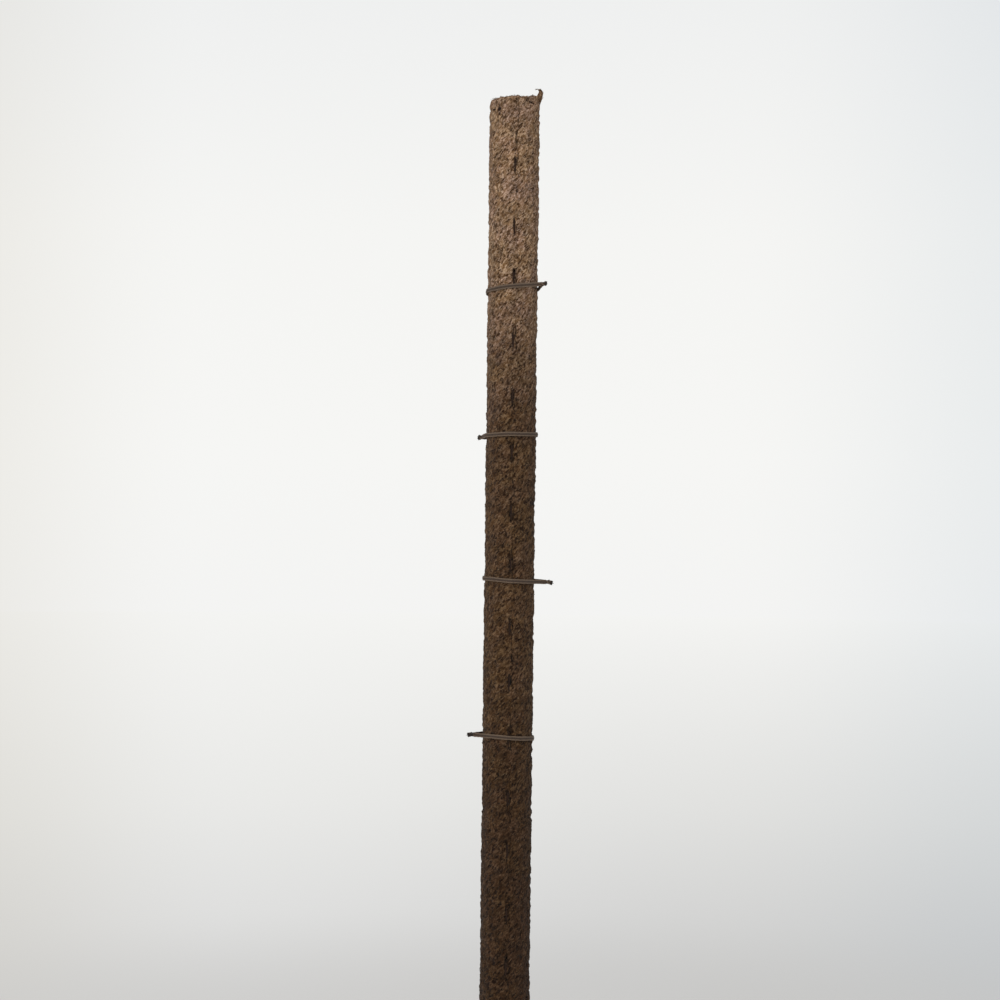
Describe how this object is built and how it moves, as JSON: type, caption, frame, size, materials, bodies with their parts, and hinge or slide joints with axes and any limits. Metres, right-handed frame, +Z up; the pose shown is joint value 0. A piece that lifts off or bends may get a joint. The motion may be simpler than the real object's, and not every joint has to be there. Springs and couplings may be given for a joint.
{
  "type": "plant support pole",
  "caption": "Round coir-felt plant support pole on a wooden stake with a stapled front seam and sliding twist ties that hold climbing stems.",
  "frame": {"origin": "centre of the stake's blunt tip, at the pole's lowest point", "axes": "+Z up along the pole, -Y towards the front where the felt's stapled seam is, +X to the right seen from the front"},
  "size_m": [0.0623, 0.042, 0.8078],
  "materials": {
    "wood": "matte",
    "coir_felt": "matte",
    "staple_wire": "satin",
    "tie_strip": "matte"
  },
  "bodies": {
    "pole": {"dowel_core": "wood", "coir_felt_wrap": "coir_felt", "top_staple_1": "staple_wire", "top_staple_2": "staple_wire", "top_staple_3": "staple_wire", "seam_staple_01": "staple_wire", "seam_staple_02": "staple_wire", "seam_staple_03": "staple_wire", "seam_staple_04": "staple_wire", "seam_staple_05": "staple_wire", "seam_staple_06": "staple_wire", "seam_staple_07": "staple_wire", "seam_staple_08": "staple_wire", "seam_staple_09": "staple_wire", "seam_staple_10": "staple_wire", "seam_staple_11": "staple_wire", "seam_staple_12": "staple_wire", "seam_staple_13": "staple_wire", "seam_staple_14": "staple_wire", "seam_staple_15": "staple_wire", "bottom_staple_1": "staple_wire", "bottom_staple_2": "staple_wire", "bottom_staple_3": "staple_wire"},
    "tie_1": {"wire_tie_1": "tie_strip"},
    "tie_2": {"wire_tie_2": "tie_strip"},
    "tie_3": {"wire_tie_3": "tie_strip"},
    "tie_4": {"wire_tie_4": "tie_strip"}
  },
  "joints": [
    {"name": "tie_1_slide", "type": "slide", "parent": "pole", "child": "tie_1", "axis": [0, 0, 1], "range_m": [-0.05, 0.12]},
    {"name": "tie_2_slide", "type": "slide", "parent": "pole", "child": "tie_2", "axis": [0, 0, 1], "range_m": [-0.05, 0.05]},
    {"name": "tie_3_slide", "type": "slide", "parent": "pole", "child": "tie_3", "axis": [0, 0, 1], "range_m": [-0.05, 0.05]},
    {"name": "tie_4_slide", "type": "slide", "parent": "pole", "child": "tie_4", "axis": [0, 0, 1], "range_m": [-0.12, 0.05]}
  ]
}
